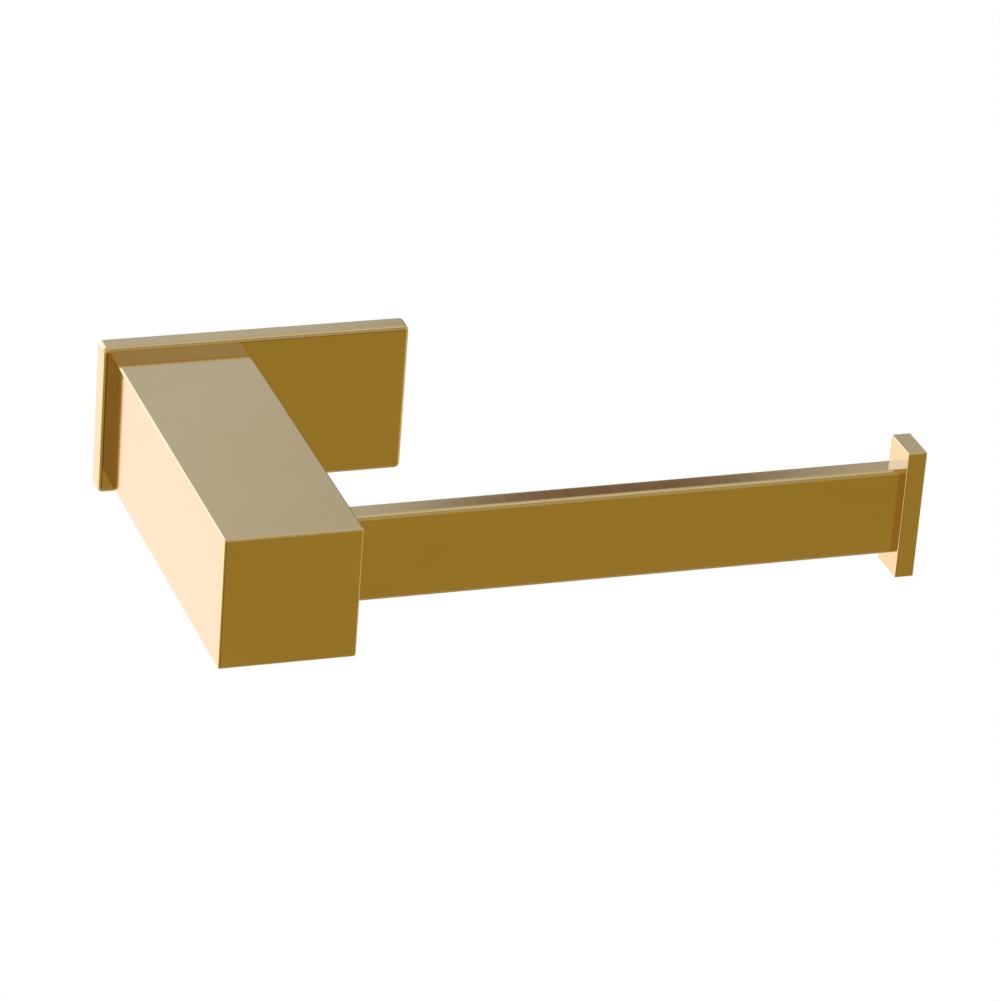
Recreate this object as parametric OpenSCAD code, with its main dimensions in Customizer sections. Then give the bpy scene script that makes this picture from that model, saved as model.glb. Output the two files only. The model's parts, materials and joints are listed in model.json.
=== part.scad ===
// Wall-mounted toilet paper holder with a square post, a flat open-ended bar and an end plate.
// The wall is the plane y = 0 and the room is on the -y side. +z is up and the bar points to +x.
// The origin is midway between the two wall screws, on the wall.

/* [Wall cover] */
// Width of the wall cover
cover_w = 75.6; // [74:0.1:84]
// Height of the wall cover
cover_h = 38; // [37:0.5:40]
// Thickness of the wall cover
cover_t = 5.1; // [5:0.1:7]
// Border left round the post on its top, bottom and left sides
cover_border = 2.8; // [2:0.1:3]

/* [Post] */
// Distance from the wall to the front of the post
projection = 100; // [99:0.5:110]
// Wall thickness of the post casting
post_wall = 3; // [2.5:0.1:3.2]

/* [Bar] */
// Free length of the bar between the post and the end plate
bar_reach = 136.6; // [125:0.1:160]
// Height of the bar
bar_h = 21.8; // [20:0.1:24]
// Thickness of the bar
bar_t = 6.3; // [4.5:0.1:6.5]
// Distance from the wall to the middle of the bar
bar_to_wall = 81.4; // [79:0.1:82.5]

/* [End plate] */
// Thickness of the end plate along the bar
end_t = 4.7; // [4.2:0.1:6]
// Depth of the end plate, from front to back
end_d = 10.7; // [9:0.1:14]

/* [Wall fixings] */
// Distance between the two wall screws
screw_spacing = 38; // [37:0.5:40]
// Length of each wall screw behind the wall surface
screw_grip = 28; // [24:1:40]

/* [Hidden] */

$fn = 96;
cut = 1;            // how far a cutter runs past the face that it opens
fit_gap = 0.05;     // gap on each side between pieces that fit into one another

gold = "goldenrod";
steel = "silver";
dark_steel = "dimgray";

// Wall cover: a thin tray whose open side faces the wall
cover_edge_r = 1.1;         // fillet along the front edges
cover_corner_r = 1.4;       // corner radius, seen from the front
tray_rim = 2.5;             // thickness of the tray's four side walls
tray_depth = 3.6;
tray_w = cover_w - 2 * tray_rim;
tray_h = cover_h - 2 * tray_rim;
tray_corner_r = 1;
hook_w = 60;                // the rib that hangs the cover on the bracket
hook_y = 1.6;
hook_drop = 2.2;

// Post: a square box casting that is open towards the cover
post_s = cover_h - 2 * cover_border;
post_x = -cover_w / 2 + cover_border + post_s / 2;
post_back = -cover_t;
post_front = -projection;
post_edge_r = 0.6;
rear_boss_r = 5;
front_boss_r = 4.5;
rear_boss_len = 15;
post_screw_at = [[post_x - 9.5, 7.5], [post_x + 9.5, -7.5]];    // x and z, upper then lower

// Bar: solid flat bar, with its root inside the post
bar_y = -bar_to_wall;
bar_edge_r = 1.1;
bar_root = post_s - post_wall - 0.5;            // length of the bar inside the post
bar_x0 = post_x + post_s / 2;                   // the post's right face
bar_x1 = bar_x0 + bar_reach;                    // the end plate's inner face
bar_screw_x = [bar_x0 - 22.5, bar_x0 - 8.5];    // inner then outer

// End plate
end_h = post_s;
end_edge_r = 0.3;
pin_r = 1.2;
pin_z = 6;
pin_in_bar = 6;
pin_in_plate = 2.8;
pin_fit = 0.01;

// Wall bracket: a folded steel channel with an upturned tongue along its top
sheet = 1.2;
bracket_w = tray_w - 1.5;
bracket_d = 3.4;
bracket_low = -13.5;
bracket_high = 13.5;
tongue_top = tray_h / 2;           // the cover rests on it
slot_r = 2.25;
slot_len = 8;
head_window_r = 4.4;
dimple_r = 1;

// M4 machine screws, which join the cover to the post and the bar to the post
m4_r = 2;
m4_hole_r = m4_r + fit_gap;
m4_clear_r = 2.2;
m4_head_r = 3.6;
m4_head_h = 2;
washer_r = 3.8;
washer_t = 0.6;

// Wall screws
wall_head_r = 3.8;
wall_head_h = 1.5;
wall_washer_r = 4.5;
wall_washer_t = 0.5;
wall_neck_r = 1.75;
wall_thread_r = 2;
wall_thread_y = 0.2;        // the thread starts this far behind the wall surface
wall_tip = 4;
wall_point_r = 0.3;

// M3 set screws, which lock the cover to the bracket from below
set_r = 1.5;
set_x = 27;
set_y = -2.1;
set_low = -cover_h / 2 + 0.2;
set_cone = 1.3;
set_point_r = 0.4;
set_tip = bracket_low - fit_gap + set_cone * (dimple_r - set_point_r) / (set_r - set_point_r);
set_key_flats = 1.5;
set_key_depth = 1.6;

// ---------- shapes that repeat ----------

// Rectangle with four round corners, centred
module round_rect(w, h, r) {
    square([w - 2 * r, h], center = true);
    square([w, h - 2 * r], center = true);
    for (x = [-1, 1], y = [-1, 1])
        translate([x * (w / 2 - r), y * (h / 2 - r)]) circle(r = r);
}

// Rectangle from y = 0 to y = -d whose two far corners are round
module front_round_rect(w, d, r) {
    translate([-w / 2, -d + r]) square([w, d - r]);
    translate([-w / 2 + r, -d]) square([w - 2 * r, d]);
    for (x = [-1, 1])
        translate([x * (w / 2 - r), -d + r]) circle(r = r);
}

// Box that stands on the plane y = 0 and reaches y = -d. Its front edges are filleted with
// edge_r and its four edges along y with corner_r.
module fronted_box(w, d, h, edge_r, corner_r) {
    intersection() {
        rotate([90, 0, 0]) linear_extrude(height = d) round_rect(w, h, corner_r);
        translate([0, 0, -h / 2]) linear_extrude(height = h) front_round_rect(w, d, edge_r);
        rotate([0, 90, 0])
            translate([0, 0, -w / 2]) linear_extrude(height = w) front_round_rect(h, d, edge_r);
    }
}

// Cylinder along y, from y0 to y1
module rod_y(x, z, r, y0, y1) {
    translate([x, max(y0, y1), z]) rotate([90, 0, 0]) cylinder(r = r, h = abs(y1 - y0));
}

// Cross recess cut into a screw head whose top faces -z at z = 0
module cross_recess(size, depth) {
    for (a = [0, 90]) rotate([0, 0, a])
        translate([-size / 2, -size / 8, -cut]) cube([size, size / 4, depth + cut]);
}

// Pan-head screw along +z: the head's seat is at z = 0, and the shank runs to z = len
module pan_screw(head_r, head_h, shank_r, len) {
    edge = head_h * 0.35;
    difference() {
        union() {
            rotate_extrude() polygon([
                [0, 0], [head_r, 0], [head_r, -head_h + 2 * edge],
                [head_r - edge, -head_h + edge / 2], [head_r - 2 * edge, -head_h], [0, -head_h]
            ]);
            cylinder(r = shank_r, h = len);
        }
        translate([0, 0, -head_h]) cross_recess(head_r * 1.1, head_h * 0.6);
    }
}

// Split spring washer between z = 0 and z = -t
module split_washer(outer_r, inner_r, t) {
    translate([0, 0, -t]) difference() {
        cylinder(r = outer_r, h = t);
        translate([0, 0, -cut]) cylinder(r = inner_r, h = t + 2 * cut);
        translate([0, -0.4, -cut]) cube([outer_r + cut, 0.8, t + 2 * cut]);
    }
}

// ---------- wall cover ----------

module cover_tray() {
    translate([0, cut, 0]) rotate([90, 0, 0])
        linear_extrude(height = tray_depth + cut) round_rect(tray_w, tray_h, tray_corner_r);
}

module cover_hook() {
    translate([-hook_w / 2, -hook_y, tray_h / 2 - hook_drop]) cube([hook_w, hook_y, hook_drop + cut]);
}

module wall_cover() {
    color(gold) {
        difference() {
            fronted_box(cover_w, cover_t, cover_h, cover_edge_r, cover_corner_r);
            difference() {
                cover_tray();
                cover_hook();
            }
            for (p = post_screw_at) rod_y(p[0], p[1], m4_clear_r, -cover_t - cut, 0);
            for (s = [-1, 1]) translate([s * set_x, set_y, -cover_h / 2 - cut])
                cylinder(r = set_r + fit_gap, h = tray_rim + 2 * cut);
        }
    }
}

// ---------- post ----------

module post_cavity() {
    inner = post_s - 2 * post_wall;
    translate([post_x - inner / 2, post_front + post_wall, -inner / 2])
        cube([inner, post_back - post_front - post_wall + cut, inner]);
}

module post_bosses() {
    for (p = post_screw_at) rod_y(p[0], p[1], rear_boss_r, post_back - rear_boss_len, post_back);
    for (x = bar_screw_x) rod_y(x, 0, front_boss_r, post_front + post_wall / 2, bar_y - bar_t / 2 - fit_gap);
}

module post_slot() {
    translate([bar_x0 - post_wall - cut, bar_y, 0]) rotate([90, 0, 90])
        linear_extrude(height = post_wall + 2 * cut)
            round_rect(bar_t + 2 * fit_gap, bar_h + 2 * fit_gap, bar_edge_r + fit_gap);
}

module post() {
    depth = post_back - post_front;
    color(gold) difference() {
        union() {
            difference() {
                translate([post_x, post_back, 0])
                    fronted_box(post_s, depth, post_s, post_edge_r, post_edge_r);
                post_cavity();
            }
            post_bosses();
        }
        for (p = post_screw_at) rod_y(p[0], p[1], m4_hole_r, post_back - rear_boss_len + 1, post_back + cut);
        for (x = bar_screw_x) rod_y(x, 0, m4_hole_r, post_front + post_wall, bar_y);
        post_slot();
    }
}

// ---------- bar and end plate ----------

module bar() {
    color(gold) difference() {
        translate([bar_x0 - bar_root, bar_y, 0]) rotate([90, 0, 90])
            linear_extrude(height = bar_root + bar_reach) round_rect(bar_t, bar_h, bar_edge_r);
        for (x = bar_screw_x) rod_y(x, 0, m4_clear_r, bar_y - bar_t, bar_y + bar_t);
        for (s = [-1, 1]) translate([bar_x1 - pin_in_bar, bar_y, s * pin_z])
            rotate([0, 90, 0]) cylinder(r = pin_r + pin_fit, h = pin_in_bar + cut);
    }
}

module end_plate() {
    color(gold) difference() {
        translate([bar_x1 + end_t / 2, bar_y, 0]) intersection() {
            rotate([90, 0, 0]) translate([0, 0, -end_d / 2])
                linear_extrude(height = end_d) round_rect(end_t, end_h, end_edge_r);
            translate([0, 0, -end_h / 2])
                linear_extrude(height = end_h) round_rect(end_t, end_d, end_edge_r);
            rotate([90, 0, 90]) translate([0, 0, -end_t / 2])
                linear_extrude(height = end_t) round_rect(end_d, end_h, end_edge_r);
        }
        for (s = [-1, 1]) translate([bar_x1 - cut, bar_y, s * pin_z])
            rotate([0, 90, 0]) cylinder(r = pin_r + pin_fit, h = pin_in_plate + cut);
    }
}

// Dowel pin pressed into the bar and the end plate; side is 1 for the upper pin
module end_pin(side) {
    color(steel) translate([bar_x1 - pin_in_bar + 0.2, bar_y, side * pin_z])
        rotate([0, 90, 0]) cylinder(r = pin_r, h = pin_in_bar + pin_in_plate - 0.4);
}

// ---------- wall bracket ----------

module bracket_section() {
    // seen along x, with the wall at 0 and the room side negative
    translate([-sheet, bracket_low]) square([sheet, bracket_high - bracket_low]);
    translate([-bracket_d, bracket_low]) square([bracket_d, sheet]);
    translate([-bracket_d, bracket_high - sheet]) square([bracket_d, sheet]);
    translate([-bracket_d, bracket_high - sheet]) square([sheet, tongue_top - bracket_high + sheet]);
}

module wall_bracket() {
    color(steel) difference() {
        translate([-bracket_w / 2, 0, 0]) rotate([90, 0, 90])
            linear_extrude(height = bracket_w) bracket_section();
        for (s = [-1, 1]) translate([s * screw_spacing / 2, cut, 0]) rotate([90, 0, 0])
            linear_extrude(height = sheet + 2 * cut) {
                square([slot_len - 2 * slot_r, 2 * slot_r], center = true);
                for (e = [-1, 1]) translate([e * (slot_len / 2 - slot_r), 0]) circle(r = slot_r);
            }
        for (p = post_screw_at) rod_y(p[0], p[1], head_window_r, -sheet - cut, cut);
        for (s = [-1, 1]) translate([s * set_x, set_y, bracket_low - cut])
            cylinder(r = dimple_r, h = sheet + 1.5 * cut);
    }
}

// ---------- fasteners ----------

// Wall screw: side is -1 for the left one
module wall_screw(side) {
    seat = sheet + wall_washer_t;
    straight = screw_grip - wall_tip;
    color(steel) translate([side * screw_spacing / 2, -seat, 0]) rotate([-90, 0, 0]) {
        pan_screw(wall_head_r, wall_head_h, wall_neck_r, seat + cut);
        translate([0, 0, seat + wall_thread_y]) cylinder(r = wall_thread_r, h = straight - wall_thread_y);
        translate([0, 0, seat + straight]) cylinder(r1 = wall_thread_r, r2 = wall_point_r, h = wall_tip);
    }
}

// Flat washer that bridges the bracket's slot; side is -1 for the left one
module wall_washer(side) {
    color(dark_steel) difference() {
        rod_y(side * screw_spacing / 2, 0, wall_washer_r, -sheet - wall_washer_t, -sheet);
        rod_y(side * screw_spacing / 2, 0, wall_neck_r + fit_gap, -sheet - wall_washer_t - cut, cut);
    }
}

// Machine screw from the cover's tray into the post; i is 0 for the upper one
module post_screw(i) {
    p = post_screw_at[i];
    color(steel) translate([p[0], -tray_depth + washer_t, p[1]]) rotate([90, 0, 0])
        pan_screw(m4_head_r, m4_head_h, m4_r, 14);
}

module post_washer(i) {
    p = post_screw_at[i];
    color(dark_steel) translate([p[0], -tray_depth, p[1]]) rotate([90, 0, 0])
        split_washer(washer_r, m4_hole_r, washer_t);
}

// Machine screw through the bar's root into the post's front bosses; i is 0 for the inner one
module bar_screw(i) {
    color(steel) translate([bar_screw_x[i], bar_y + bar_t / 2 + washer_t, 0]) rotate([90, 0, 0])
        pan_screw(m4_head_r, m4_head_h, m4_r, bar_t + washer_t + 9);
}

module bar_washer(i) {
    color(dark_steel) translate([bar_screw_x[i], bar_y + bar_t / 2, 0]) rotate([90, 0, 0])
        split_washer(washer_r, m4_hole_r, washer_t);
}

// Cone-point set screw with a hex socket; side is -1 for the left one
module set_screw(side) {
    body = set_tip - set_low - set_cone;
    color(dark_steel) translate([side * set_x, set_y, set_low]) difference() {
        union() {
            cylinder(r = set_r, h = body);
            translate([0, 0, body]) cylinder(r1 = set_r, r2 = set_point_r, h = set_cone);
        }
        translate([0, 0, -cut]) cylinder(r = set_key_flats / sqrt(3), h = cut + set_key_depth, $fn = 6);
    }
}

wall_cover();
post();
bar();
end_plate();
wall_bracket();
wall_screw(-1);  // wall_screw_left
wall_screw(1);  // wall_screw_right
wall_washer(-1);  // wall_washer_left
wall_washer(1);  // wall_washer_right
post_screw(0);  // post_screw_upper
post_screw(1);  // post_screw_lower
post_washer(0);  // post_washer_upper
post_washer(1);  // post_washer_lower
bar_screw(0);  // bar_screw_inner
bar_screw(1);  // bar_screw_outer
bar_washer(0);  // bar_washer_inner
bar_washer(1);  // bar_washer_outer
end_pin(1);  // end_pin_upper
end_pin(-1);  // end_pin_lower
set_screw(-1);  // set_screw_left
set_screw(1);  // set_screw_right
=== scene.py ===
"""Visual model of a wall-mounted toilet paper holder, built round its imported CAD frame.

The wall is the plane y = 0, the room is on the -y side, +z is up and the bar points to +x.
Every length below is in metres; MM turns millimetres into metres.
"""
import json
import math

import bmesh
import bpy
from mathutils import Matrix, Vector

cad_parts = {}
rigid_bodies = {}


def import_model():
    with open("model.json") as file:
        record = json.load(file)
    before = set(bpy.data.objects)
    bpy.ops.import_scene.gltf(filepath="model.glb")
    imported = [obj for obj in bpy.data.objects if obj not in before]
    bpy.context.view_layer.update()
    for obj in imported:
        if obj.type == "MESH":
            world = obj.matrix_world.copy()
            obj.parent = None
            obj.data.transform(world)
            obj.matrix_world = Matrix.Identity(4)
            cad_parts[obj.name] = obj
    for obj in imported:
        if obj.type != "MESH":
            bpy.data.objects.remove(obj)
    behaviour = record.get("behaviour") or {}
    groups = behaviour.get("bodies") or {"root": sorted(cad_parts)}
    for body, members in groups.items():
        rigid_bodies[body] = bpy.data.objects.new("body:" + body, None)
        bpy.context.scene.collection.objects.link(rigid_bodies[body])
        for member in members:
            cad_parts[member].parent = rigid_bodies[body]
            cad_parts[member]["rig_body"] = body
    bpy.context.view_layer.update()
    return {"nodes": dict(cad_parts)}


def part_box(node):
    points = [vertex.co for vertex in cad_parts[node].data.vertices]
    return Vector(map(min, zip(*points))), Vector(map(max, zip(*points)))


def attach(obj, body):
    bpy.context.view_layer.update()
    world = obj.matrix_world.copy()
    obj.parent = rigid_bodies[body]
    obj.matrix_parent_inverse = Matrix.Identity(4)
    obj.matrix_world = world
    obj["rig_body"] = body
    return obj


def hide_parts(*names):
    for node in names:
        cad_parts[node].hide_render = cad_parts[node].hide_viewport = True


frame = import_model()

MM = 0.001

# ---------- sizes ----------

# wall cover
COVER_EDGE_R = 1.1 * MM
COVER_CORNER_R = 1.4 * MM
COVER_BACK_R = 0.25 * MM
TRAY_RIM = 2.5 * MM
TRAY_DEPTH = 3.6 * MM
TRAY_CORNER_R = 1.0 * MM
HOOK_W = 60 * MM
HOOK_Y = 1.6 * MM
HOOK_DROP = 2.2 * MM
HOOK_CORNER_R = 0.25 * MM    # the hook is sunk two corner radii into the rim
HOOK_EDGE_R = 0.1 * MM

# post
POST_EDGE_R = 0.6 * MM
POST_WALL = 3 * MM
POST_CAVITY_R = 1.2 * MM
REAR_BOSS_R = 5 * MM
REAR_BOSS_LEN = 15 * MM
REAR_BOSS_END = 1 * MM       # metal left past the blind end of a rear boss's bore
FRONT_BOSS_R = 4.5 * MM

# bar and end plate
BAR_EDGE_R = 1.1 * MM
BAR_END_R = 0.2 * MM
END_EDGE_R = 0.3 * MM
SLOT_GAP = 0.05 * MM         # between the bar and the post's slot, all round
PIN_CHAMFER = 0.25 * MM
PIN_FIT = 0.01 * MM          # between a pin and its hole, all round
PIN_SPARE = 0.2 * MM         # how far a pin's hole runs past its end

# wall bracket
SHEET = 1.2 * MM
BEND_R = 0.5 * MM            # inside radius of the folds
SHEET_DEBURR = 0.12 * MM
SLOT_R = 2.25 * MM
SLOT_LEN = 8 * MM
HEAD_WINDOW_R = 4.4 * MM
DIMPLE_R = 1.0 * MM

# screw holes
M4_CLEAR_R = 2.2 * MM
M4_TAP_R = 1.95 * MM
M3_HOLE_R = 1.55 * MM

# all screws
HEAD_CHAMFER = 0.12 * MM
CROSS_BLADE = 0.45 * MM      # half the thickness of the cross in a head
CROSS_ABOVE = 0.4 * MM       # the cross's cutter starts this far above the head
CROSS_FLARE = 1.15           # and is this much larger there
CROSS_TAPER = ((0.4, 0.9), (1.0, 0.35))   # (part of the depth, size of the cross there)
THREAD_FOOT = 0.75           # foot of a thread's ridge, as a part of its pitch
THREAD_CREST = 0.125         # flat crest of the ridge, as a part of its pitch
THREAD_RUN_OUT = 0.15        # part of the ridge's height that is left where a thread ends
NECK_STEP = 0.1 * MM         # from a neck to its thread

# wall screws
WALL_HEAD_H = 1.5 * MM
WALL_CROSS_ARM = 2.1 * MM
WALL_CROSS_DEPTH = 0.95 * MM
WALL_NECK_R = 1.75 * MM
WALL_CREST_R = 2.0 * MM
WALL_CORE_R = 1.35 * MM
WALL_PITCH = 1.6 * MM
WALL_FOOT = 0.55             # a wood screw's ridge is slimmer
WALL_TIP = 4 * MM
WALL_TIP_R = 0.12 * MM

# machine screws
M4_HEAD_H = 2 * MM
M4_CROSS_ARM = 2.0 * MM
M4_CROSS_DEPTH = 1.2 * MM
M4_NECK_R = 1.62 * MM
M4_NECK_LEN = 0.7 * MM
M4_CREST_R = 1.94 * MM
M4_CORE_R = 1.55 * MM
M4_PITCH = 0.7 * MM
M4_END_R = 1.3 * MM
M4_END_LEN = 0.35 * MM

# set screws
SET_CREST_R = 1.5 * MM
SET_CORE_R = 1.2 * MM
SET_PITCH = 0.5 * MM
SET_RIM_R = 1.36 * MM        # where the chamfer round the socket ends
SET_RIM_LEN = 0.12 * MM
SET_THREAD_START = 0.14 * MM
SET_CONE = 1.3 * MM
SET_POINT_R = 0.35 * MM
KEY_FLAT = 0.75 * MM         # half the width across the key's flats
KEY_DEPTH = 1.6 * MM
KEY_LEAD_IN = 0.2 * MM       # the socket's cutter starts this far outside the screw
KEY_FLARE = 1.12             # and is this much wider there

# washers
WASHER_GAP = 0.05 * MM       # between a flat washer and its screw's neck
WASHER_CHAMFER = 0.1 * MM
LOCK_INNER_R = 2.1 * MM
LOCK_CHAMFER = 0.07 * MM
LOCK_LIFT = 0.08 * MM        # one end of a split washer stands this much higher
LOCK_GAP_DEG = 9
LOCK_SLANT_DEG = 5
LOCK_STEPS = 64

FILLET_STEPS = 7
CORNER_STEPS = 8
ROUND_SIDES = 48             # facets round a boss, a hole or a washer
SMALL_SIDES = 32             # facets round a screw, a pin or a small hole
EDGE_SHARP_DEG = 38          # edges sharper than this stay crisp
THREAD_SHARP_DEG = 70        # the same on a threaded piece, so that its ridges look smooth
OVERSHOOT = 1 * MM           # how far a cutter runs past the face that it opens
SLACK = 0.1 * MM             # allowance when faces are picked by their place

POST_SCREWS = ("post_screw_upper", "post_screw_lower")
BAR_SCREWS = ("bar_screw_inner", "bar_screw_outer")


# ---------- places ----------

def extent(node):
    """Lowest corner, highest corner and middle of a CAD node."""
    low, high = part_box(node)
    return low, high, (low + high) / 2


def middle(node):
    return extent(node)[2]


# Each of these gives a function that turns a piece's own (u, v, w), with w along the named axis, into
# a place in the frame.

def along_x(x, y, z):
    return lambda u, v, w: (x + w, y + u, z + v)


def along_y(x, y, z, way=1):
    return lambda u, v, w: (x + u, y + way * w, z + v)


def along_z(x, y, z):
    return lambda u, v, w: (x + u, y + v, z + w)


# ---------- mesh helpers ----------

def rounded_outline(half_u, half_v, radius, steps=CORNER_STEPS):
    """Points of a rounded rectangle round the origin, anticlockwise."""
    points = []
    for quarter, (side_u, side_v) in enumerate(((1, 1), (-1, 1), (-1, -1), (1, -1))):
        for step in range(steps + 1):
            angle = math.radians(90 * (quarter + step / steps))
            points.append((side_u * (half_u - radius) + radius * math.cos(angle),
                           side_v * (half_v - radius) + radius * math.sin(angle)))
    return points


def circle_outline(radius, sides):
    return [(radius * math.cos(math.tau * i / sides), radius * math.sin(math.tau * i / sides))
            for i in range(sides)]


def fillet(radius, steps=FILLET_STEPS):
    """(inset, set-back) pairs of a quarter round, from the end face to the side."""
    if radius == 0:
        return [(0, 0)]
    angles = [math.radians(90 * step / steps) for step in range(steps + 1)]
    return [(radius * (1 - math.sin(a)), radius * (1 - math.cos(a))) for a in angles]


def block_rings(half_u, half_v, corner_r, start, end, start_r=0.0, end_r=0.0):
    """Rings of a bar with a rounded section along w, from start to end, with both ends filleted."""
    way = 1 if end > start else -1
    rings = []
    for inset, back in fillet(start_r):
        outline = rounded_outline(half_u - inset, half_v - inset, max(corner_r - inset, 0))
        rings.append([(u, v, start + way * back) for u, v in outline])
    for inset, back in reversed(fillet(end_r)):
        outline = rounded_outline(half_u - inset, half_v - inset, max(corner_r - inset, 0))
        rings.append([(u, v, end - way * back) for u, v in outline])
    return rings


def round_rings(profile, sides=ROUND_SIDES):
    """Rings of a turned piece, whose profile is a list of (radius, w)."""
    return [[(u, v, w) for u, v in circle_outline(r, sides)] for r, w in profile]


def new_piece(name, rings, place):
    """A closed mesh skinned over rings of equally many points; place maps (u, v, w) to the frame."""
    bm = bmesh.new()
    rows = [[bm.verts.new(place(*point)) for point in ring] for ring in rings]
    for low, high in zip(rows, rows[1:]):
        for i in range(len(low)):
            j = (i + 1) % len(low)
            bm.faces.new((low[i], low[j], high[j], high[i]))
    bm.faces.new(rows[0][::-1])
    bm.faces.new(rows[-1])
    bmesh.ops.remove_doubles(bm, verts=bm.verts, dist=1e-7)
    bmesh.ops.dissolve_degenerate(bm, edges=bm.edges, dist=1e-8)
    bmesh.ops.recalc_face_normals(bm, faces=bm.faces)
    mesh = bpy.data.meshes.new(name)
    bm.to_mesh(mesh)
    bm.free()
    piece = bpy.data.objects.new(name, mesh)
    bpy.context.scene.collection.objects.link(piece)
    return piece


def combine(piece, others, operation):
    """Cuts the other meshes out of piece, or joins them to it, and removes them."""
    for other in others:
        modifier = piece.modifiers.new(operation, "BOOLEAN")
        modifier.operation = operation
        modifier.solver = "EXACT"
        modifier.object = other
    depsgraph = bpy.context.evaluated_depsgraph_get()
    mesh = bpy.data.meshes.new_from_object(piece.evaluated_get(depsgraph))
    piece.modifiers.clear()
    piece.data = mesh
    for other in others:
        bpy.data.objects.remove(other)


def cut(piece, *cutters):
    combine(piece, cutters, "DIFFERENCE")


def join(piece, *additions):
    combine(piece, additions, "UNION")


def rod(place, radius, start, end, sides=ROUND_SIDES):
    """A plain cylinder, used to bore holes and to add bosses."""
    return new_piece("rod", round_rings([(radius, start), (radius, end)], sides), place)


def rods_along_y(nodes, radius, start, end):
    """One rod through the middle of each node, from y = start to y = end."""
    return [rod(along_y(p.x, 0, p.z), radius, start, end) for p in map(middle, nodes)]


def drop_caps(piece):
    """Turns a stack of rings that ends where it began into a closed ring."""
    bm = bmesh.new()
    bm.from_mesh(piece.data)
    caps = [f for f in bm.faces if len(f.verts) > 4]
    bmesh.ops.delete(bm, geom=caps, context="FACES_ONLY")
    bmesh.ops.remove_doubles(bm, verts=bm.verts, dist=1e-7)
    bmesh.ops.recalc_face_normals(bm, faces=bm.faces)
    bm.to_mesh(piece.data)
    bm.free()


def finish_piece(piece, node, slot, *materials, bevel=0.0, sharp_deg=EDGE_SHARP_DEG):
    """Shades the piece, gives it its materials and makes it stand for its CAD node."""
    for material in materials:
        piece.data.materials.append(material)
    if bevel:
        modifier = piece.modifiers.new("deburr", "BEVEL")
        modifier.width = bevel
        modifier.segments = 2
        modifier.limit_method = "ANGLE"
        modifier.angle_limit = math.radians(45)
        modifier.harden_normals = True
    piece.data.shade_smooth()
    piece.data.set_sharp_from_angle(angle=math.radians(sharp_deg))
    weighted = piece.modifiers.new("normals", "WEIGHTED_NORMAL")
    weighted.keep_sharp = True
    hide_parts(node)
    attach(piece, frame["nodes"][node]["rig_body"])


def paint_where(piece, index, test):
    """Gives the faces whose centre passes the test the material with that index."""
    for face in piece.data.polygons:
        if test(face.center):
            face.material_index = index


# ---------- materials ----------

NOISE_RANGE = (0.3, 0.7)     # where nearly all of a noise's values lie
MIX_SOCKETS = {"FLOAT": (2, 0), "RGBA": (6, 2)}   # a Mix node's first input and its output


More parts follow.
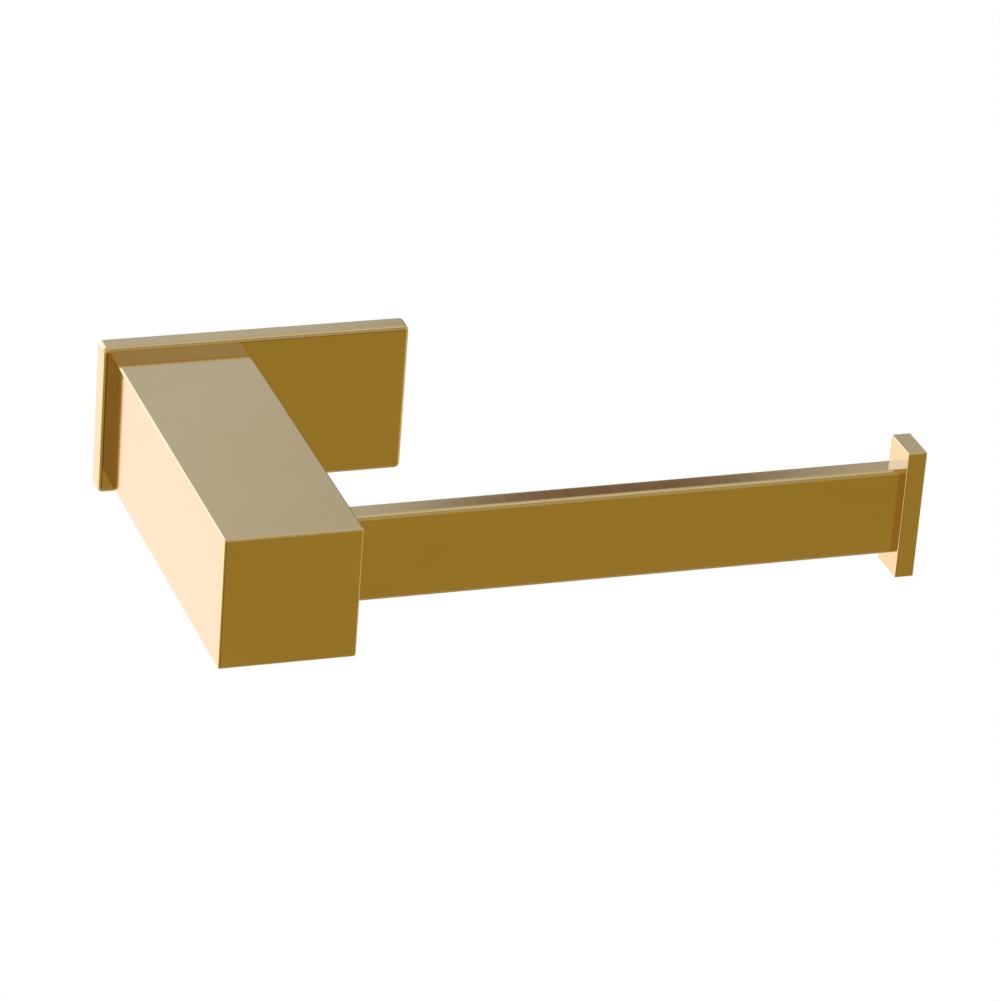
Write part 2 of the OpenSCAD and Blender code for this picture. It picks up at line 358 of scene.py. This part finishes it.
class Shader:
    """A small builder for one procedural material."""

    def __init__(self, name):
        self.material = bpy.data.materials.new(name)
        self.material.use_nodes = True
        self.tree = self.material.node_tree
        self.tree.nodes.clear()
        output = self.add("ShaderNodeOutputMaterial")
        self.surface = self.add("ShaderNodeBsdfPrincipled")
        self.tree.links.new(self.surface.outputs[0], output.inputs[0])
        self.position = self.add("ShaderNodeTexCoord").outputs["Object"]
        self.normal = self.add("ShaderNodeNewGeometry").outputs["True Normal"]

    def add(self, kind):
        return self.tree.nodes.new(kind)

    def put(self, socket, value):
        if isinstance(value, bpy.types.NodeSocket):
            self.tree.links.new(value, socket)
        else:
            socket.default_value = value

    def set(self, **values):
        for name, value in values.items():
            self.put(self.surface.inputs[name.replace("_", " ")], value)

    def math(self, operation, a, b=0.0):
        made = self.add("ShaderNodeMath")
        made.operation = operation
        self.put(made.inputs[0], a)
        self.put(made.inputs[1], b)
        return made.outputs[0]

    def noise(self, scale, detail=2.0, roughness=0.5):
        """Noise whose scale is per metre along x, y and z."""
        stretch = self.add("ShaderNodeVectorMath")
        stretch.operation = "MULTIPLY"
        self.put(stretch.inputs[0], self.position)
        self.put(stretch.inputs[1], scale)
        made = self.add("ShaderNodeTexNoise")
        self.put(made.inputs["Vector"], stretch.outputs[0])
        made.inputs["Scale"].default_value = 1
        made.inputs["Detail"].default_value = detail
        made.inputs["Roughness"].default_value = roughness
        return made.outputs["Fac"]

    def remap(self, value, low, high, from_low=0.0, from_high=1.0):
        """Spreads from_low to from_high over low to high."""
        made = self.add("ShaderNodeMapRange")
        self.put(made.inputs["Value"], value)
        numbers = {"From Min": from_low, "From Max": from_high, "To Min": low, "To Max": high}
        for name, number in numbers.items():
            made.inputs[name].default_value = number
        return made.outputs[0]

    def vary(self, noise, low=0.0, high=1.0):
        """Spreads a noise's usual values over low to high."""
        return self.remap(noise, low, high, *NOISE_RANGE)

    def mix(self, factor, a, b, kind="FLOAT"):
        made = self.add("ShaderNodeMix")
        made.data_type = kind
        first, result = MIX_SOCKETS[kind]
        self.put(made.inputs[0], factor)
        self.put(made.inputs[first], a)
        self.put(made.inputs[first + 1], b)
        return made.outputs[result]

    def tint(self, factor, a, b):
        """A colour between a and b."""
        return self.mix(factor, a, b, "RGBA")

    def faces_up(self, limit=0.7):
        """1 on faces that look up or down, and 0 on upright ones."""
        parts = self.add("ShaderNodeSeparateXYZ")
        self.put(parts.inputs[0], self.normal)
        return self.math("GREATER_THAN", self.math("ABSOLUTE", parts.outputs[2]), limit)

    def edges(self, radius, limit=0.9):
        """Near 1 within radius of an edge, and 0 on open faces."""
        bevel = self.add("ShaderNodeBevel")
        bevel.samples = 4
        bevel.inputs["Radius"].default_value = radius
        dot = self.add("ShaderNodeVectorMath")
        dot.operation = "DOT_PRODUCT"
        self.put(dot.inputs[0], bevel.outputs[0])
        self.put(dot.inputs[1], self.normal)
        return self.remap(dot.outputs["Value"], 1, 0, limit, 1.0)

    def bump(self, height, strength, distance):
        made = self.add("ShaderNodeBump")
        made.inputs["Strength"].default_value = strength
        made.inputs["Distance"].default_value = distance
        self.put(made.inputs["Height"], height)
        self.put(self.surface.inputs["Normal"], made.outputs[0])


def rgb(r, g, b):
    return (r, g, b, 1.0)


def brushed_gold():
    """Brushed gold plating: fine streaks along each face, faint clouding, and brighter worn edges."""
    s = Shader("brushed_gold")
    gold, pale_gold = rgb(0.80, 0.555, 0.215), rgb(0.83, 0.585, 0.235)
    dark_streak, worn_gold = rgb(0.72, 0.48, 0.165), rgb(0.86, 0.64, 0.3)
    level_streaks = s.noise((45, 45, 2600), detail=3)     # on upright faces
    outward_streaks = s.noise((2600, 60, 60), detail=3)   # on tops and undersides
    streak = s.mix(s.faces_up(), level_streaks, outward_streaks)
    tone = s.tint(s.vary(s.noise((35, 35, 35))), gold, pale_gold)
    streaked = s.tint(s.remap(streak, 0, 0.16, from_low=0.35, from_high=0.75), tone, dark_streak)
    patches = s.remap(s.noise((900, 900, 900)), 0, 0.6, from_low=0.4, from_high=0.65)
    wear = s.math("MULTIPLY", s.edges(radius=0.35 * MM), patches)
    s.set(Base_Color=s.tint(wear, streaked, worn_gold), Metallic=1.0,
          Roughness=s.mix(wear, s.vary(streak, 0.088, 0.112), 0.2))
    s.bump(streak, strength=0.045, distance=0.02 * MM)
    return s.material


def cast_gold():
    """The inside of the castings: the same plating, thin and dull over a rough cast skin."""
    s = Shader("cast_gold")
    dull, warm = rgb(0.42, 0.33, 0.19), rgb(0.55, 0.43, 0.22)
    grain = s.noise((2200, 2200, 2200), detail=4, roughness=0.65)
    flow = s.noise((60, 60, 90), detail=3)
    s.set(Base_Color=s.tint(s.vary(flow), dull, warm), Metallic=1.0, Roughness=s.remap(grain, 0.38, 0.62))
    s.bump(grain, strength=0.35, distance=0.06 * MM)
    return s.material


def sheet_steel():
    """Stainless sheet with its rolling grain, duller on the cut edges."""
    s = Shader("sheet_steel")
    steel, pale_steel, cut_edge = rgb(0.57, 0.54, 0.5), rgb(0.66, 0.63, 0.58), rgb(0.42, 0.42, 0.42)
    grain = s.noise((35, 2000, 2400), detail=4)
    tone = s.tint(s.vary(s.noise((50, 50, 50))), steel, pale_steel)
    wear = s.math("MULTIPLY", s.edges(radius=0.3 * MM), s.remap(grain, 0.2, 0.8))
    s.set(Base_Color=s.tint(wear, tone, cut_edge), Metallic=1.0,
          Roughness=s.mix(wear, s.vary(grain, 0.26, 0.4), 0.45))
    s.bump(grain, strength=0.12, distance=0.03 * MM)
    return s.material


def turned_metal(name, light, dark, rough):
    """Plated or bare fasteners: spotted, with darker edges and a fine grain; rough is a range."""
    s = Shader(name)
    grain = s.noise((1800, 1800, 1800), detail=3)
    spots = s.noise((420, 420, 420))
    tone = s.tint(s.remap(spots, 0, 0.5, from_low=0.35, from_high=0.75), light, dark)
    wear = s.math("MULTIPLY", s.edges(radius=0.2 * MM), 0.35)
    s.set(Base_Color=s.tint(wear, tone, dark), Metallic=1.0, Roughness=s.vary(grain, *rough))
    s.bump(grain, strength=0.1, distance=0.02 * MM)
    return s.material


GOLD = brushed_gold()
CAST = cast_gold()
STEEL_SHEET = sheet_steel()
STAINLESS = turned_metal("stainless", rgb(0.69, 0.66, 0.61), rgb(0.5, 0.48, 0.45), rough=(0.2, 0.32))
ZINC = turned_metal("bright_zinc", rgb(0.73, 0.72, 0.69), rgb(0.57, 0.56, 0.54), rough=(0.16, 0.28))
DULL_ZINC = turned_metal("dull_zinc", rgb(0.46, 0.46, 0.45), rgb(0.34, 0.34, 0.34), rough=(0.34, 0.5))
BLACK_STEEL = turned_metal("dark_steel", rgb(0.2, 0.195, 0.19), rgb(0.1, 0.1, 0.1), rough=(0.28, 0.42))
GROUND_STEEL = turned_metal("ground_steel", rgb(0.62, 0.62, 0.61), rgb(0.5, 0.5, 0.5), rough=(0.14, 0.22))


# ---------- wall cover ----------

def wall_cover():
    low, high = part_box("wall_cover")
    half_u, half_v = (high.x - low.x) / 2, (high.z - low.z) / 2
    tray_u, tray_v = half_u - TRAY_RIM, half_v - TRAY_RIM
    rings = block_rings(half_u, half_v, COVER_CORNER_R, low.y, high.y, COVER_EDGE_R, COVER_BACK_R)
    rings += block_rings(tray_u, tray_v, TRAY_CORNER_R, high.y, high.y - TRAY_DEPTH)
    piece = new_piece("cover_shell", rings, along_y(0, 0, 0))

    hook_v = HOOK_DROP / 2 + HOOK_CORNER_R
    hook_rings = block_rings(HOOK_W / 2, hook_v, HOOK_CORNER_R, 0, -HOOK_Y, HOOK_EDGE_R, HOOK_EDGE_R)
    hook_z = tray_v - HOOK_DROP / 2 + HOOK_CORNER_R
    join(piece, new_piece("hook", hook_rings, along_y(0, 0, hook_z)))

    bores = rods_along_y(POST_SCREWS, M4_CLEAR_R, low.y - OVERSHOOT, 0)
    for side in ("left", "right"):
        p = middle("set_screw_" + side)
        place = along_z(p.x, p.y, low.z)
        bores.append(rod(place, M3_HOLE_R, -OVERSHOOT, TRAY_RIM + OVERSHOOT, SMALL_SIDES))
    cut(piece, *bores)
    finish_piece(piece, "wall_cover", "wall_cover_finish", GOLD, CAST)

    def in_tray(c):
        behind_floor = c.y > high.y - TRAY_DEPTH - SLACK
        return behind_floor and abs(c.x) < tray_u + SLACK and abs(c.z) < tray_v + SLACK

    paint_where(piece, 1, in_tray)


# ---------- post ----------

def post():
    low, high, centre = extent("post")
    half = (high.x - low.x) / 2
    cavity = half - POST_WALL
    rings = block_rings(half, half, POST_EDGE_R, low.y, high.y, POST_EDGE_R, 0)
    rings += block_rings(cavity, cavity, POST_CAVITY_R, high.y, low.y + POST_WALL, 0, POST_CAVITY_R)
    piece = new_piece("post_casting", rings, along_y(centre.x, 0, 0))

    bar_low, bar_high, bar_centre = extent("bar")
    rear_bosses = rods_along_y(POST_SCREWS, REAR_BOSS_R, high.y - REAR_BOSS_LEN, high.y)
    front_bosses = rods_along_y(BAR_SCREWS, FRONT_BOSS_R, low.y + POST_WALL / 2, bar_low.y - SLOT_GAP)
    join(piece, *rear_bosses, *front_bosses)

    slot_u = (bar_high.y - bar_low.y) / 2 + SLOT_GAP
    slot_v = (bar_high.z - bar_low.z) / 2 + SLOT_GAP
    slot_rings = block_rings(slot_u, slot_v, BAR_EDGE_R + SLOT_GAP,
                             high.x - POST_WALL - OVERSHOOT, high.x + OVERSHOOT)
    slot = new_piece("slot", slot_rings, along_x(0, bar_centre.y, 0))
    blind_end = high.y - REAR_BOSS_LEN + REAR_BOSS_END
    rear_bores = rods_along_y(POST_SCREWS, M4_TAP_R, blind_end, high.y + OVERSHOOT)
    front_bores = rods_along_y(BAR_SCREWS, M4_TAP_R, low.y + POST_WALL, bar_low.y + OVERSHOOT)
    cut(piece, slot, *rear_bores, *front_bores)
    finish_piece(piece, "post", "post_finish", GOLD, CAST)

    inner = half - POST_WALL / 2
    front = low.y + POST_WALL / 2
    paint_where(piece, 1, lambda c: abs(c.x - centre.x) < inner and abs(c.z) < inner and c.y > front)


# ---------- bar and end plate ----------

def pin_holes(y):
    """Cutters for the two end pins."""
    holes = []
    for side in ("upper", "lower"):
        low, high, centre = extent("end_pin_" + side)
        radius = (high.z - low.z) / 2 + PIN_FIT
        place = along_x(0, y, centre.z)
        holes.append(rod(place, radius, low.x - PIN_SPARE, high.x + PIN_SPARE, SMALL_SIDES))
    return holes


def bar():
    low, high, centre = extent("bar")
    half_u, half_v = (high.y - low.y) / 2, (high.z - low.z) / 2
    rings = block_rings(half_u, half_v, BAR_EDGE_R, low.x, high.x, BAR_END_R, 0)
    piece = new_piece("roll_bar", rings, along_x(0, centre.y, 0))
    screw_holes = rods_along_y(BAR_SCREWS, M4_CLEAR_R, low.y - OVERSHOOT, high.y + OVERSHOOT)
    cut(piece, *screw_holes, *pin_holes(centre.y))
    finish_piece(piece, "bar", "bar_finish", GOLD)


def end_plate():
    low, high, centre = extent("end_plate")
    half_u, half_v = (high.y - low.y) / 2, (high.z - low.z) / 2
    rings = block_rings(half_u, half_v, END_EDGE_R, low.x, high.x, END_EDGE_R, END_EDGE_R)
    piece = new_piece("bar_end_plate", rings, along_x(0, centre.y, centre.z))
    cut(piece, *pin_holes(centre.y))
    finish_piece(piece, "end_plate", "end_plate_finish", GOLD)


# ---------- wall bracket ----------

def folded_section(corners, thickness, inside_r, steps=6):
    """Outline of a folded sheet whose middle line runs through the corners, which are (y, z) pairs."""
    mid_r = inside_r + thickness / 2
    points = [Vector(c) for c in corners]
    line = [(points[0], (points[1] - points[0]).normalized())]
    for before, corner, after in zip(points, points[1:], points[2:]):
        first, second = (corner - before).normalized(), (after - corner).normalized()
        centre = corner - first * mid_r + second * mid_r
        for step in range(steps + 1):
            a = math.radians(90 * step / steps)
            outward = second * -math.cos(a) + first * math.sin(a)
            heading = first * math.cos(a) + second * math.sin(a)
            line.append((centre + outward * mid_r, heading))
    line.append((points[-1], (points[-1] - points[-2]).normalized()))
    left = [p + Vector((-h.y, h.x)) * thickness / 2 for p, h in line]
    right = [p - Vector((-h.y, h.x)) * thickness / 2 for p, h in line]
    return left + right[::-1]


def stadium_outline(length, radius, steps=16):
    return [(side * (length / 2 - radius) + radius * math.cos(math.radians(angle + 180 * step / steps)),
             radius * math.sin(math.radians(angle + 180 * step / steps)))
            for side, angle in ((1, -90), (-1, 90)) for step in range(steps + 1)]


def wall_bracket():
    low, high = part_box("wall_bracket")
    half = SHEET / 2
    web_y, tongue_y = high.y - half, low.y + half
    flange_z = -low.z - half
    corners = [(low.y, -flange_z), (web_y, -flange_z), (web_y, flange_z),
               (tongue_y, flange_z), (tongue_y, high.z)]
    section = folded_section(corners, SHEET, BEND_R)
    rings = [[(y, z, x) for y, z in section] for x in (low.x, high.x)]
    piece = new_piece("hanger_bracket", rings, along_x(0, 0, 0))
    outline = stadium_outline(SLOT_LEN, SLOT_R)
    cutters = []
    for side in ("left", "right"):
        p = middle("wall_screw_" + side)
        slot = [[(u, v, w) for u, v in outline] for w in (-SHEET - OVERSHOOT, OVERSHOOT)]
        cutters.append(new_piece("slot", slot, along_y(p.x, 0, p.z)))
        p = middle("set_screw_" + side)
        place = along_z(p.x, p.y, low.z)
        cutters.append(rod(place, DIMPLE_R, -OVERSHOOT, SHEET + OVERSHOOT / 2, SMALL_SIDES))
    cutters += rods_along_y(POST_SCREWS, HEAD_WINDOW_R, -SHEET - OVERSHOOT, OVERSHOOT)
    cut(piece, *cutters)
    finish_piece(piece, "wall_bracket", "bracket_steel", STEEL_SHEET, bevel=SHEET_DEBURR)


# ---------- fasteners ----------

def ridge(phase, foot):
    """Height of a thread's ridge, 0 to 1, at a place in its pitch; foot is a part of the pitch."""
    return min(1.0, max(0.0, (foot - abs(2 * phase - 1)) / (foot - THREAD_CREST)))


def thread_rings(start, end, crest_r, core_r, pitch, foot=THREAD_FOOT, tip_r=0.0, tip_len=0.0, rows=10):
    """Rings of a helical thread along w, with this many rows to a pitch. A tip_len narrows to tip_r."""
    count = max(2, round((end - start) / pitch * rows))
    rings = []
    for row in range(count + 1):
        w = start + (end - start) * row / count
        full = max(0.0, min(1.0, (w - start) / pitch, (end - w) / pitch + THREAD_RUN_OUT))
        narrow = max(0.0, (w - (end - tip_len)) / tip_len) if tip_len else 0.0
        ring = []
        for side in range(SMALL_SIDES):
            turn = side / SMALL_SIDES
            height = (crest_r - core_r) * ridge((w / pitch - turn) % 1.0, foot) * full
            radius = (core_r + height) * (1 - narrow) + tip_r * narrow
            ring.append((radius * math.cos(math.tau * turn), radius * math.sin(math.tau * turn), w))
        rings.append(ring)
    return rings


def pan_head(head_r, head_h, steps=8):
    """Rings of a domed head whose seat is at w = 0 and whose top is at w = -head_h."""
    dome = head_h / 2
    profile = []
    for step in range(1, steps + 1):
        angle = math.radians(90 * step / steps)
        profile.append((head_r * math.sin(angle), -head_h + dome * (1 - math.cos(angle))))
    profile += [(head_r, -HEAD_CHAMFER), (head_r - HEAD_CHAMFER, 0)]
    return round_rings(profile, SMALL_SIDES)


def cross_cutter(place, head_h, depth, arm):
    """A tapered cross that cuts a recess of this depth into the top of a head."""
    def plus(scale):
        a, b = arm * scale, CROSS_BLADE * scale
        corner = [(a, -b), (a, b), (b, b)]
        outline = []
        for quarter in range(4):
            outline += corner
            corner = [(-v, u) for u, v in corner]
        return outline

    levels = [(-head_h - CROSS_ABOVE, CROSS_FLARE)]
    levels += [(-head_h + depth * part, scale) for part, scale in CROSS_TAPER]
    return new_piece("recess", [[(u, v, w) for u, v in plus(scale)] for w, scale in levels], place)


def wall_screw(side):
    node = "wall_screw_" + side
    low, high, centre = extent(node)
    seat = low.y + WALL_HEAD_H
    place = along_y(centre.x, seat, centre.z)
    neck_end = NECK_STEP - seat
    rings = pan_head((high.x - low.x) / 2, WALL_HEAD_H)
    rings += round_rings([(WALL_NECK_R, 0), (WALL_NECK_R, neck_end)], SMALL_SIDES)
    rings += thread_rings(neck_end + NECK_STEP, high.y - seat,
                          WALL_CREST_R, WALL_CORE_R, WALL_PITCH,
                          foot=WALL_FOOT, tip_r=WALL_TIP_R, tip_len=WALL_TIP)
    piece = new_piece("fixing_screw_" + side, rings, place)
    cut(piece, cross_cutter(place, WALL_HEAD_H, WALL_CROSS_DEPTH, WALL_CROSS_ARM))
    finish_piece(piece, node, "screw_steel", STAINLESS, sharp_deg=THREAD_SHARP_DEG)


def machine_screw(node, name):
    """M4 pan-head screw that points to -y."""
    low, high, centre = extent(node)
    seat = high.y - M4_HEAD_H
    place = along_y(centre.x, seat, centre.z, way=-1)
    length = seat - low.y
    rings = pan_head((high.x - low.x) / 2, M4_HEAD_H)
    rings += round_rings([(M4_NECK_R, 0), (M4_NECK_R, M4_NECK_LEN)], SMALL_SIDES)
    rings += thread_rings(M4_NECK_LEN + NECK_STEP, length - M4_END_LEN,
                          M4_CREST_R, M4_CORE_R, M4_PITCH, rows=8)
    rings += round_rings([(M4_END_R, length)], SMALL_SIDES)
    piece = new_piece(name, rings, place)
    cut(piece, cross_cutter(place, M4_HEAD_H, M4_CROSS_DEPTH, M4_CROSS_ARM))
    finish_piece(piece, node, "zinc_screw", ZINC, sharp_deg=THREAD_SHARP_DEG)


def washer_section(inner, outer, height, c):
    """(radius, w) corners of a washer's section, whose four edges have a chamfer c."""
    return [(inner + c, 0), (outer - c, 0), (outer, c), (outer, height - c),
            (outer - c, height), (inner + c, height), (inner, height - c), (inner, c)]


def spring_washer(node, name):
    """Split washer squeezed nearly flat, with its ends cut on a slant."""
    low, high, centre = extent(node)
    height = high.y - low.y - LOCK_LIFT
    section = washer_section(LOCK_INNER_R, (high.x - low.x) / 2, height, LOCK_CHAMFER)
    rings = []
    for step in range(LOCK_STEPS + 1):
        turn = step / LOCK_STEPS
        ring = []
        for radius, w in section:
            slant = math.radians(LOCK_SLANT_DEG) * (w / height - 0.5)
            angle = math.radians(LOCK_GAP_DEG / 2 + (360 - LOCK_GAP_DEG) * turn) + slant
            ring.append((radius * math.cos(angle), radius * math.sin(angle), w + LOCK_LIFT * turn))
        rings.append(ring)
    piece = new_piece(name, rings, along_y(centre.x, low.y, centre.z))
    finish_piece(piece, node, "washer_steel", DULL_ZINC)


def flat_washer(side):
    node = "wall_washer_" + side
    low, high, centre = extent(node)
    inner, outer = WALL_NECK_R + WASHER_GAP, (high.x - low.x) / 2
    section = washer_section(inner, outer, high.y - low.y, WASHER_CHAMFER)
    rings = round_rings(section + section[:1])
    piece = new_piece("fixing_washer_" + side, rings, along_y(centre.x, low.y, centre.z))
    drop_caps(piece)
    finish_piece(piece, node, "washer_steel", DULL_ZINC)


def end_pin(side):
    node = "end_pin_" + side
    low, high, centre = extent(node)
    radius, c = (high.z - low.z) / 2, PIN_CHAMFER
    profile = [(radius - c, low.x), (radius, low.x + c), (radius, high.x - c), (radius - c, high.x)]
    rings = round_rings(profile, SMALL_SIDES)
    piece = new_piece("dowel_pin_" + side, rings, along_x(0, centre.y, centre.z))
    finish_piece(piece, node, "pin_steel", GROUND_STEEL)


def set_screw(side):
    """M3 grub screw whose socket looks down and whose cone point is at the top."""
    node = "set_screw_" + side
    low, high, centre = extent(node)
    length = high.z - low.z
    place = along_z(centre.x, centre.y, low.z)
    rings = round_rings([(SET_CORE_R, 0), (SET_RIM_R, SET_RIM_LEN)], SMALL_SIDES)
    rings += thread_rings(SET_THREAD_START, length - SET_CONE, SET_CREST_R, SET_CORE_R, SET_PITCH)
    rings += round_rings([(SET_POINT_R, length)], SMALL_SIDES)
    piece = new_piece("grub_screw_" + side, rings, place)
    key_r = KEY_FLAT / math.cos(math.radians(30))
    socket = [(key_r * KEY_FLARE, -KEY_LEAD_IN), (key_r, SET_RIM_LEN), (key_r, KEY_DEPTH)]
    cut(piece, new_piece("key", round_rings(socket, 6), place))
    finish_piece(piece, node, "set_screw_steel", BLACK_STEEL, sharp_deg=THREAD_SHARP_DEG)


# ---------- stage ----------

STUDIO_BASE = (0.55, 0.55, 0.56)

# each laid over those before it: direction, full within this angle, gone beyond this angle, colour
STUDIO_LIGHTS = [
    ((-0.62, 0.76, 0.20), 30, 50, (0.92, 0.92, 0.98)),         # pale wall, behind on the left
    ((-0.35, 0.84, -0.05), 18, 30, (1.45, 1.65, 2.5)),         # white screen in front of it
    ((-0.35, 0.83, 0.42), 8, 16, (1.12, 1.56, 3.4)),           # window light on its upper part
    ((-0.377, 0.817, 0.437), 2.0, 5.0, (1.18, 1.85, 5.8)),     # its cool middle
    ((-0.31, 0.84, -0.45), 12, 28, (1.18, 1.21, 1.47)),        # its lower part
    ((-0.95, 0.0, 0.0), 30, 50, (0.95, 0.93, 0.92)),           # pale wall on the left
    ((-0.80, 0.30, -0.50), 20, 34, (1.4, 1.5, 1.9)),           # white card, low on the left
    ((0.31, -0.22, 0.92), 18, 37, (0.66, 0.74, 0.98)),         # overhead softbox
    ((0.31, -0.74, 0.58), 12, 28, (0.37, 0.34, 0.17)),         # dim ceiling in front
    ((0.31, -0.84, 0.45), 3, 8, (0.47, 0.6, 1.1)),             # cool lamp in it
    ((0.31, -0.84, -0.45), 22, 36, (0.36, 0.29, 0.09)),        # warm dark floor in front
    ((0.31, -0.95, 0.03), 9, 19, (0.46, 0.42, 0.23)),          # lighter wall in front
    ((-0.52, -0.72, -0.45), 22, 38, (0.39, 0.35, 0.2)),        # dark corner, front left
    ((-0.05, -0.89, -0.45), 6, 13, (0.10, 0.07, 0.03)),        # gap between them
    ((0.85, 0.20, -0.45), 24, 42, (0.68, 0.57, 0.36)),         # warm card on the right
    ((0.31, 0.10, -0.95), 26, 46, (0.44, 0.41, 0.36)),         # grey floor below
    ((0.42, 0.90, -0.08), 14, 24, (0.16, 0.15, 0.10)),         # dark gap, behind on the right
    ((0.31, 0.84, 0.45), 14, 22, (0.55, 0.64, 0.92)),          # cool grey card, behind and above
    ((0.35, 0.825, 0.445), 1.0, 6.0, (0.475, 0.535, 0.72)),    # its darker edge
    ((0.3335, 0.8313, 0.4446), 0.9, 2.6, (0.14, 0.07, 0.03)),  # slim brown flag in front of it
]

FLOOR_REACH = 40.0
FLOOR_Z = -1.5


def studio_world():
    """White to the camera; to reflections, a soft studio whose light and tint change with direction."""
    world = bpy.data.worlds.new("studio")
    bpy.context.scene.world = world
    world.use_nodes = True
    tree = world.node_tree
    tree.nodes.clear()
    link = tree.links.new
    output = tree.nodes.new("ShaderNodeOutputWorld")
    direction = tree.nodes.new("ShaderNodeTexCoord").outputs["Generated"]

    def lobe(under, towards, inner_deg, outer_deg, colour):
        """Lays a soft round light over what is under it."""
        dot = tree.nodes.new("ShaderNodeVectorMath")
        dot.operation = "DOT_PRODUCT"
        link(direction, dot.inputs[0])
        dot.inputs[1].default_value = Vector(towards).normalized()
        spread = tree.nodes.new("ShaderNodeMapRange")
        spread.interpolation_type = "SMOOTHSTEP"
        link(dot.outputs["Value"], spread.inputs["Value"])
        spread.inputs["From Min"].default_value = math.cos(math.radians(outer_deg))
        spread.inputs["From Max"].default_value = math.cos(math.radians(inner_deg))
        mix = tree.nodes.new("ShaderNodeMix")
        mix.data_type = "RGBA"
        first, result = MIX_SOCKETS["RGBA"]
        link(spread.outputs[0], mix.inputs[0])
        link(under, mix.inputs[first])
        mix.inputs[first + 1].default_value = rgb(*colour)
        return mix.outputs[result]

    base = tree.nodes.new("ShaderNodeRGB")
    base.outputs[0].default_value = rgb(*STUDIO_BASE)
    light = base.outputs[0]
    for towards, inner_deg, outer_deg, colour in STUDIO_LIGHTS:
        light = lobe(light, towards, inner_deg, outer_deg, colour)

    seen = tree.nodes.new("ShaderNodeBackground")
    seen.inputs["Color"].default_value = rgb(1, 1, 1)
    lit = tree.nodes.new("ShaderNodeBackground")
    link(light, lit.inputs["Color"])
    choose = tree.nodes.new("ShaderNodeMixShader")
    link(tree.nodes.new("ShaderNodeLightPath").outputs["Is Camera Ray"], choose.inputs[0])
    link(lit.outputs[0], choose.inputs[1])
    link(seen.outputs[0], choose.inputs[2])
    link(choose.outputs[0], output.inputs[0])


def floor():
    """A plain white floor, far below, that shines evenly and shows in no reflection."""
    bm = bmesh.new()
    signs = ((-1, -1), (1, -1), (1, 1), (-1, 1))
    bm.faces.new([bm.verts.new((x * FLOOR_REACH, y * FLOOR_REACH, FLOOR_Z)) for x, y in signs])
    mesh = bpy.data.meshes.new("floor")
    bm.to_mesh(mesh)
    bm.free()
    plane = bpy.data.objects.new("floor", mesh)
    bpy.context.scene.collection.objects.link(plane)
    material = bpy.data.materials.new("white_floor")
    material.use_nodes = True
    surface = material.node_tree.nodes["Principled BSDF"]
    surface.inputs["Base Color"].default_value = rgb(0, 0, 0)
    surface.inputs["Roughness"].default_value = 1.0
    surface.inputs["Specular IOR Level"].default_value = 0
    surface.inputs["Emission Color"].default_value = rgb(1, 1, 1)
    surface.inputs["Emission Strength"].default_value = 1.0
    mesh.materials.append(material)
    plane.visible_glossy = False
    plane.visible_diffuse = False


CAMERA_PLACE = (-0.34612, -1.10381, 0.55476)
CAMERA_AZIMUTH_DEG = -20.482
CAMERA_ELEVATION_DEG = 26.506
CAMERA_ROLL_DEG = 4.557
CAMERA_SENSOR_MM = 36
CAMERA_LENS_MM = 192.48
CAMERA_REACH = 200


def camera():
    """A long lens from the upper left, rolled a little."""
    azimuth, elevation = math.radians(CAMERA_AZIMUTH_DEG), math.radians(CAMERA_ELEVATION_DEG)
    back = Vector((math.sin(azimuth) * math.cos(elevation), -math.cos(azimuth) * math.cos(elevation),
                   math.sin(elevation)))
    data = bpy.data.cameras.new("camera")
    data.sensor_width = CAMERA_SENSOR_MM
    data.lens = CAMERA_LENS_MM
    data.clip_end = CAMERA_REACH
    made = bpy.data.objects.new("camera", data)
    aim = (-back).to_track_quat("-Z", "Y").to_matrix()
    turn = aim @ Matrix.Rotation(math.radians(CAMERA_ROLL_DEG), 3, "Z")
    made.matrix_world = Matrix.Translation(CAMERA_PLACE) @ turn.to_4x4()
    bpy.context.scene.collection.objects.link(made)
    bpy.context.scene.camera = made


# ---------- build ----------

camera()
studio_world()
floor()
bpy.context.scene.view_settings.view_transform = "Standard"   # colours as they are, with no film curve

wall_cover()
post()
bar()
end_plate()
wall_bracket()
for side in ("left", "right"):
    wall_screw(side)
    flat_washer(side)
    set_screw(side)
for side in ("upper", "lower"):
    machine_screw("post_screw_" + side, "post_fixing_" + side)
    spring_washer("post_washer_" + side, "post_lock_washer_" + side)
    end_pin(side)
for side in ("inner", "outer"):
    machine_screw("bar_screw_" + side, "bar_fixing_" + side)
    spring_washer("bar_washer_" + side, "bar_lock_washer_" + side)
